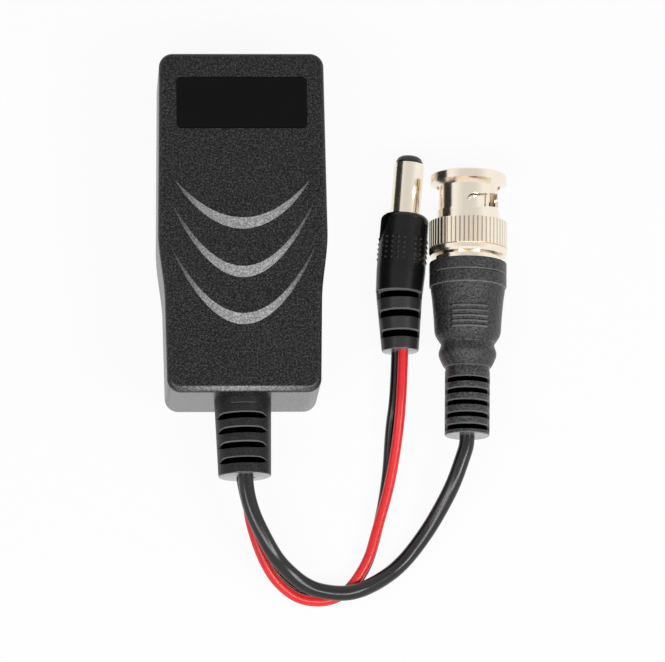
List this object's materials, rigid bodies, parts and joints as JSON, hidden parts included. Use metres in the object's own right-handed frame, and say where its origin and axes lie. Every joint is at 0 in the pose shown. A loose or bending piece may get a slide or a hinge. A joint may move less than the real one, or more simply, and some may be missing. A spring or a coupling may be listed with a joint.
{
  "type": "video balun",
  "caption": "Small black case with a modular network socket at one end and, at the other, short leads to a bayonet coaxial plug and a barrel power plug.",
  "frame": {"origin": "middle of the case's flat back, on the surface that it lies on", "axes": "+Y along the case towards its socket, +Z out of the back towards the ridged face, +X towards the side where the leads lie"},
  "size_m": [0.0645, 0.0996, 0.0204],
  "materials": {
    "case_black": "fine spark texture",
    "label_black": "gloss",
    "socket_black": "plain",
    "contact_gold": "gold plated",
    "board_green": "solder mask",
    "ferrite": "dull",
    "winding_copper": "enamelled",
    "component_blue": "dipped",
    "component_yellow": "dipped",
    "component_grey": "glazed",
    "soft_black": "moulded, satin",
    "jacket_black": "smooth, satin",
    "jacket_red": "smooth, satin",
    "tip_black": "smooth",
    "nickel": "nickel plated",
    "spring_steel": "plain",
    "insulator_white": "plain",
    "gasket_red": "plain"
  },
  "bodies": {
    "balun": {"top_shell": "case_black", "back_cover": "case_black", "label_plate": "label_black", "jack_housing": "socket_black", "jack_contacts": "contact_gold", "circuit_board": "board_green", "toroid_core": "ferrite", "first_winding": "winding_copper", "second_winding": "winding_copper", "surge_suppressor": "component_grey", "capacitor": "component_blue", "resettable_fuse": "component_yellow", "strain_relief": "soft_black", "coax_tail": "jacket_black", "red_tail": "jacket_red", "black_tail": "jacket_black", "coax_cable": "jacket_black", "dc_wire_red": "jacket_red", "dc_wire_black": "jacket_black", "dc_plug_moulding": "soft_black", "dc_barrel": "nickel", "dc_tip_insulator": "tip_black", "dc_inner_contact": "nickel", "bnc_boot": "soft_black", "bnc_cable_tail": "jacket_black", "bnc_ferrule": "nickel", "bnc_body": "nickel", "bnc_insulator": "insulator_white", "bnc_centre_pin": "contact_gold", "bnc_gasket": "gasket_red", "bnc_wave_washer": "spring_steel", "bnc_retaining_ring": "spring_steel"},
    "thrust_washer": {"bnc_slip_washer": "spring_steel"},
    "coupling_sleeve": {"bnc_coupling": "nickel"}
  },
  "joints": [
    {"name": "sleeve_pull", "type": "slide", "parent": "balun", "child": "thrust_washer", "axis": [0.0236, 0.9997, 0], "range_m": [0, 0.0008], "stiffness_N_per_m": 5000, "springref_m": -0.0004, "deforming": ["bnc_wave_washer"]},
    {"name": "sleeve_turn", "type": "hinge", "parent": "thrust_washer", "child": "coupling_sleeve", "pos_m": [0.04194, 0.00254, 0.00722], "axis": [0.0236, 0.9997, 0], "continuous": true}
  ]
}
